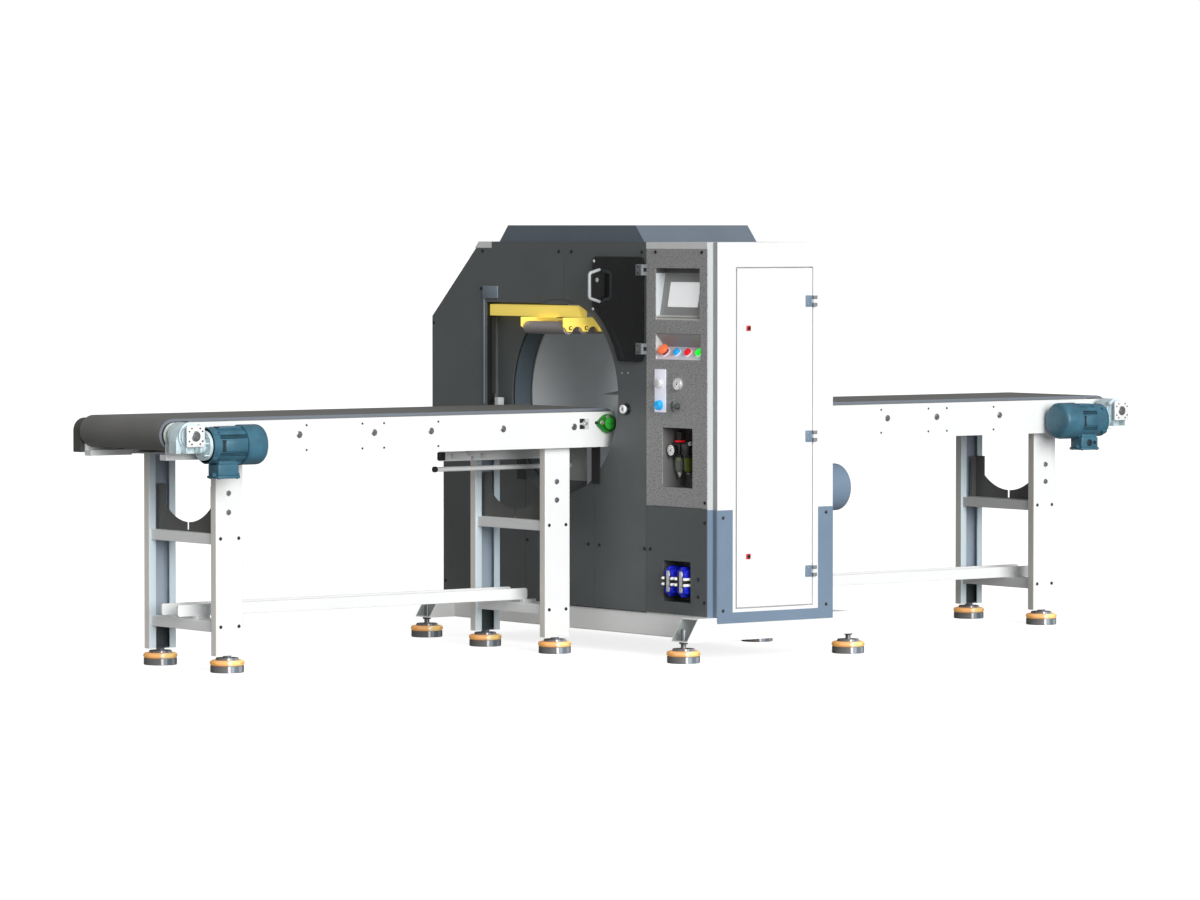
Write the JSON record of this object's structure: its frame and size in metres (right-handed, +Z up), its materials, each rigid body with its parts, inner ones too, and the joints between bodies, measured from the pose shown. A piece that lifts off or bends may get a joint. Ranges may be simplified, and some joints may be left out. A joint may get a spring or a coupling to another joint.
{
  "type": "orbital wrapping machine",
  "caption": "Horizontal orbital wrapping machine: a dark housing with a round wrapping tunnel, control column and side cabinet, between an infeed and an outfeed belt conveyor on legs.",
  "frame": {"origin": "floor level under the middle of the machine's bounding box", "axes": "+X along the conveyors from infeed to outfeed, +Z up, -Y towards the side with the cabinet door"},
  "size_m": [4.4976, 1.754, 1.588],
  "materials": {
    "white_paint": "semi-gloss",
    "dark_paint": "satin",
    "bluegrey_paint": "satin",
    "speckle_paint": "textured",
    "yellow_paint": "satin",
    "green_paint": "satin",
    "teal_paint": "satin",
    "pale_cast": "cast",
    "steel": "satin",
    "belt_rubber": "matt",
    "foot_rubber": "satin",
    "grey_liner": "satin",
    "tint": "gloss",
    "screen_glass": "gloss",
    "button_plastic": "gloss",
    "blue_plastic": "gloss",
    "black_plastic": "matt",
    "lilac_paint": "satin"
  },
  "bodies": {
    "machine": {"air_unit": "black_plastic", "arch_plates": "dark_paint", "back_sheets": "dark_paint", "base_frame": "white_paint", "beam_guide": "steel", "bearing_covers": "dark_paint", "belt_beds": "steel", "belt_tensioners": "steel", "buttons": "button_plastic", "cabinet_body": "white_paint", "cabinet_skin": "white_paint", "clamp_bars": "white_paint", "clamp_plate": "dark_paint", "column_panels": "speckle_paint", "conveyor_belts": "belt_rubber", "conveyor_legs": "white_paint", "couplings": "blue_plastic", "cross_beams": "white_paint", "drive_motors": "teal_paint", "end_bearings": "green_paint", "end_drums": "steel", "film_finger": "dark_paint", "fixed_hinges": "steel", "foot_discs": "steel", "foot_rings": "foot_rubber", "front_sheets": "dark_paint", "gearboxes": "pale_cast", "guard_post": "bluegrey_paint", "hmi_screen": "screen_glass", "hood": "bluegrey_paint", "housing_body": "dark_paint", "kick_plate": "bluegrey_paint", "light_barrier": "steel", "rail_brackets": "white_paint", "rear_motor_drum": "bluegrey_paint", "ring_rollers": "steel", "roof_slab": "dark_paint", "side_rails": "white_paint", "stretchers": "white_paint", "tunnel_liner": "grey_liner", "valve_plate": "lilac_paint"},
    "ring": {"wrap_ring": "bluegrey_paint"},
    "press": {"press_beam": "yellow_paint", "roller_cradle": "yellow_paint"},
    "roller_1": {"press_roller_1": "steel"},
    "roller_2": {"press_roller_2": "steel"},
    "roller_3": {"press_roller_3": "steel"},
    "access": {"access_door": "tint", "access_handle": "steel"},
    "cabinet": {"cabinet_door": "white_paint"}
  },
  "joints": [
    {"name": "ring_spin", "type": "hinge", "parent": "machine", "child": "ring", "pos_m": [-0.196, 0.059, 0.943], "axis": [1, 0, 0], "continuous": true},
    {"name": "press_lift", "type": "slide", "parent": "machine", "child": "press", "axis": [0, 0, 1], "range_m": [-0.25, 0]},
    {"name": "roller_spin_1", "type": "hinge", "parent": "press", "child": "roller_1", "pos_m": [-0.344, 0.066, 1.204], "axis": [0, 1, 0], "continuous": true},
    {"name": "roller_spin_2", "type": "hinge", "parent": "press", "child": "roller_2", "pos_m": [-0.27, 0.066, 1.204], "axis": [0, 1, 0], "continuous": true},
    {"name": "roller_spin_3", "type": "hinge", "parent": "press", "child": "roller_3", "pos_m": [-0.196, 0.066, 1.204], "axis": [0, 1, 0], "continuous": true},
    {"name": "access_swing", "type": "hinge", "parent": "machine", "child": "access", "pos_m": [-0.3175, -0.475, 1.2785], "axis": [0, 0, 1], "range_deg": [0, 110]},
    {"name": "cabinet_swing", "type": "hinge", "parent": "machine", "child": "cabinet", "pos_m": [0.177, -0.872, 0.813], "axis": [0, 0, 1], "range_deg": [0, 110]}
  ]
}
